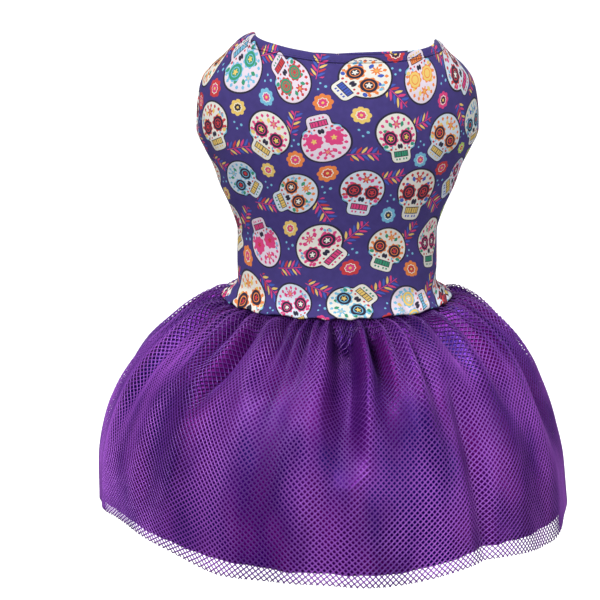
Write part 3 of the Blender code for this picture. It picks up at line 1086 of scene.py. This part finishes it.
# %% A flower, a sprig and dots
def draw_filling(graph, under, place):
    x, y, lots = cells(graph, place, 0.5)
    first, second = graph.split(lots)
    y = y * (1.0 - 2.0 * (first > 0.5))
    local = graph.join(x, y)
    petals = pick(graph, second, (LIME, PINK, YELLOW, SKY, RED, ORANGE))
    heart = pick(graph, (second * 6).fraction(), (RED, INK, PINK))
    flower_y = y - 11.8
    out = graph.vector("LENGTH", graph.join(x, flower_y), output=1)
    wave = abs((turn_of(graph, x, flower_y) * 4).cosine())
    reach = (4.1 + 0.9 * wave) * (0.82 + 0.25 * second)
    painted = graph.mix(out < reach, under, petals)
    painted = graph.mix(abs(out - reach * 0.52) < 0.22, painted, CREAM)
    painted = graph.mix(out < reach * 0.42, painted, heart)
    painted = graph.mix(out < 0.75, painted, YELLOW)
    inputs = {"Vector": graph.vector("SUBTRACT", local, (0, -10.0, 0)), "Angle": (second - 0.5) * 2.6}
    along, side = graph.split(graph.node("ShaderNodeVectorRotate", {"rotation_type": "Z_AXIS"}, inputs))
    side_out = abs(side)
    slant = (along - side_out * 0.75) / 2.5 + 0.09 * (side > 0.0)
    leaf = abs(slant.fraction() - 0.5) + 0.07 * abs(side_out - 2.0) ** 2.0
    inside_sprig = (abs(along) < 7.0) * (side_out > 0.45)
    number = (slant.floor() * 0.27 + 0.35 * (side > 0.0)).fraction()
    leaves = pick(graph, number, (YELLOW, PINK, BLUE, RED))
    painted = graph.mix((leaf < 0.33) * inside_sprig, painted, leaves)
    painted = graph.mix((side_out < 0.2) * (abs(along) < 8.4), painted, PINK)
    painted = graph.mix(ellipse(graph, local, 2.2, 2.6, 0.75, 0.75) < 1.0, painted, SKY)
    painted = graph.mix(ellipse(graph, local, -1.8, 3.8, 0.6, 0.6) < 1.0, painted, SKY)
    return graph.mix(ellipse(graph, local, -0.3, 0.4, 0.6, 0.6) < 1.0, painted, SKY)


def jersey_material(name, fading):
    """The printed cloth. Fading is 0 on its face and nearly 1 on its reverse."""
    graph = Graph(name, colour(64, 55, 114), 0.78)
    place = graph.flat()
    wales, courses = graph.split(place)
    inputs = {"Vector": place, "Scale": 0.016, "Detail": 0.0}
    drift = graph.node("ShaderNodeTexNoise", {"noise_dimensions": "2D"}, inputs, 1)
    shade = graph.noise(place, 0.25)
    painted = graph.mix(shade, colour(58, 45, 117), colour(70, 57, 135))
    moved = graph.vector("MULTIPLY_ADD", drift, (15, 13, 0), place)
    painted = draw_filling(graph, painted, moved)
    painted = draw_skull(graph, painted, moved)
    graph.set(base_color=graph.mix(fading, painted, REVERSE))
    loops = (wales * math.tau / 0.9).cosine() * (courses * math.tau / 0.7).cosine()
    graph.bump(loops, 0.00008)
    return graph.material


printed_jersey = jersey_material("printed_jersey_cloth", 0.0)
jersey_reverse = jersey_material("printed_jersey_reverse", 0.8)
for panel_piece in (back_panel, belly_panel):
    panel_piece.data.materials.append(printed_jersey)
    panel_piece.data.materials.append(jersey_reverse)
    panel_piece.modifiers["Thickness"].material_offset = 1
print("nodes in the print:", len(printed_jersey.node_tree.nodes))

# %% [markdown]
# ## Thread, satin and net
# The stitches are polyester thread with a slight shine. Satin is smooth along its floats, so its
# highlights are broad and clear. Its colour shifts between a redder and a bluer purple, partly as
# a random tone and partly as painted highlight patches. The net's threads are shiny nylon: small
# facets catch the light here and there. Their colour changes slowly over the cloth, partly as tone
# and partly as painted sheen, and is painted darker toward the seam: painted shade in the gathers,
# and the net bunched there.


# %% The other materials
def thread_material():
    graph = Graph("stitching_thread", colour(72, 62, 126), 0.5)
    return graph.material


def satin_material():
    graph = Graph("purple_satin", colour(74, 12, 120), 0.36)
    place = graph.flat()
    folds = graph.vector("MULTIPLY", place, (1.0, 0.45, 0))
    # Painted highlight: the brighter, redder patches stand for the satin's sheen smears, partly a
    # random tone; they are also a little rougher.
    painted_sheen_patches = (graph.noise(folds, 0.028) - 0.35).maths("MULTIPLY", 3.2).least(1.0).most(0.0)
    graph.set(base_color=graph.mix(painted_sheen_patches, colour(48, 8, 126), colour(132, 18, 146)))
    graph.set(roughness=0.32 + 0.12 * painted_sheen_patches, metallic=0.6)
    floats = graph.noise(graph.vector("MULTIPLY", place, (3.0, 0.35, 0)), 1.0)
    graph.bump(floats, 0.0002)
    return graph.material


def net_material():
    graph = Graph("purple_net", colour(136, 66, 176), 0.42)
    place = graph.flat()
    glint = graph.noise(place, 0.9)
    soft = graph.noise(graph.vector("MULTIPLY", place, (1.0, 0.5, 0)), 0.03)
    soft = (soft * 3.0 - 1.0).most(0.0).least(1.0)
    # Slow changes of the threads' tone, brightened in patches as painted sheen.
    tone_and_painted_sheen = graph.mix(soft, colour(104, 42, 152), colour(164, 84, 206))
    # Painted shade: the threads darken toward the seam, standing for the shade in the gathers and for
    # the bunched net there.
    rise = graph.split(place)[1] / (SLANT_LENGTH / MM)
    seam_shade_and_bunching = (rise * 4.0 - 3.0).most(0.0).least(1.0)
    graph.set(base_color=graph.mix(seam_shade_and_bunching * 0.8, tone_and_painted_sheen, colour(66, 26, 100)))
    graph.set(roughness=0.55 - 0.4 * glint, metallic=0.2)
    return graph.material


stitching = thread_material()
purple_satin = satin_material()
purple_net = net_material()

finishes = (
    (printed_jersey, (neck_roll, leg_roll_left, leg_roll_right)),
    (stitching, (neck_stitches, leg_stitches_left, leg_stitches_right)),
    (purple_satin, (satin_cloth,)),
    (purple_net, (net_threads,)),
)
for material, pieces in finishes:
    for piece in pieces:
        piece.data.materials.append(material)
print("pieces with a material:", sum(len(pieces) for _, pieces in finishes))

# %% [markdown]
# ## What each piece is
# Every piece rides on the frame's root and takes the place of the plain solid it refines. Its row
# also lists the slot its finish comes from.

Role = namedtuple("Role", "piece node slot")
ROLES = [
    Role(back_panel, "back_panel", "printed_jersey"),
    Role(belly_panel, "belly_panel", "printed_jersey"),
    Role(neck_roll, "neck_hem", "hem_jersey"),
    Role(neck_stitches, None, "hem_jersey"),
    Role(leg_roll_left, "leg_hem_left", "hem_jersey"),
    Role(leg_stitches_left, None, "hem_jersey"),
    Role(leg_roll_right, "leg_hem_right", "hem_jersey"),
    Role(leg_stitches_right, None, "hem_jersey"),
    Role(satin_cloth, "satin_underskirt", "satin"),
    Role(net_threads, "net_skirt", "net"),
]
for role in ROLES:
    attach(role.piece, "root")
    if role.node:
        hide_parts(role.node)

# %% [markdown]
# ## Camera, floor and light
# The camera looks a little down at the dress's back. The floor lies well below the hem and is
# near white, so the sheer hem of the net is seen against it. The floor is seen by the camera
# alone and throws no light back, or the shiny satin would turn grey. A sun as key light, two
# large lamps and a pale sky keep the shadows soft.

# %% Camera, floor and light
AIM = np.array([-0.021, 0.0, -0.108])
ELEVATION = math.radians(15)
DISTANCE = 1.5
eye = AIM + DISTANCE * np.array([0.0, -math.cos(ELEVATION), math.sin(ELEVATION)])
camera_data = bpy.data.cameras.new("camera")
camera_data.lens = 157.9
camera_data.sensor_width = 36.0
camera = bpy.data.objects.new("camera", camera_data)
camera.location = eye
camera.rotation_euler = (math.pi / 2 - ELEVATION, 0, 0)
bpy.context.scene.collection.objects.link(camera)
bpy.context.scene.camera = camera

FLOOR_DROP = 0.45
floor_mesh = bpy.data.meshes.new("floor")
corners = [(-20, -20, 0), (20, -20, 0), (20, 20, 0), (-20, 20, 0)]
floor_mesh.from_pydata(corners, [], [(0, 1, 2, 3)])
floor = bpy.data.objects.new("floor", floor_mesh)
floor.location.z = cad_box[0][2] - FLOOR_DROP
bpy.context.scene.collection.objects.link(floor)
floor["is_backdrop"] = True
floor_paint = Graph("floor_paint", (0.85, 0.85, 0.85), 0.9)
floor_paint.set(emission_color=(1.0, 1.0, 1.0), emission_strength=0.4)
floor_mesh.materials.append(floor_paint.material)
floor.visible_diffuse = False
floor.visible_glossy = False


def add_light(name, kind, place, energy, **sizes):
    """A light at this place that shines toward the origin."""
    data = bpy.data.lights.new(name, kind)
    data.energy = energy
    for size, value in sizes.items():
        setattr(data, size, value)
    light = bpy.data.objects.new(name, data)
    light.location = place
    light.rotation_euler = light.location.to_track_quat("Z", "Y").to_euler()
    bpy.context.scene.collection.objects.link(light)


add_light("key", "SUN", (-0.8, -1.1, 1.5), 2.9, angle=math.radians(16))
add_light("fill", "AREA", (1.9, -1.0, 0.4), 15, shape="DISK", size=1.2)
add_light("back", "AREA", (0.5, 2.0, 0.8), 14, shape="DISK", size=1.4)

world = bpy.data.worlds.new("studio")
world.use_nodes = True
world.node_tree.nodes["Background"].inputs["Color"].default_value = (1.0, 1.0, 1.0, 1.0)
world.node_tree.nodes["Background"].inputs["Strength"].default_value = 0.3
bpy.context.scene.world = world
bpy.context.scene.view_settings.view_transform = "Standard"
print("camera at", np.round(eye, 3))

# %% Sizes and finish
shown_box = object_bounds()
for axis in range(3):
    cad_side = cad_box[1][axis] - cad_box[0][axis]
    shown_side = shown_box[1][axis] - shown_box[0][axis]
    print("XYZ"[axis], round(cad_side / MM, 1), "mm in CAD,", round(shown_side / MM, 1), "mm shown")
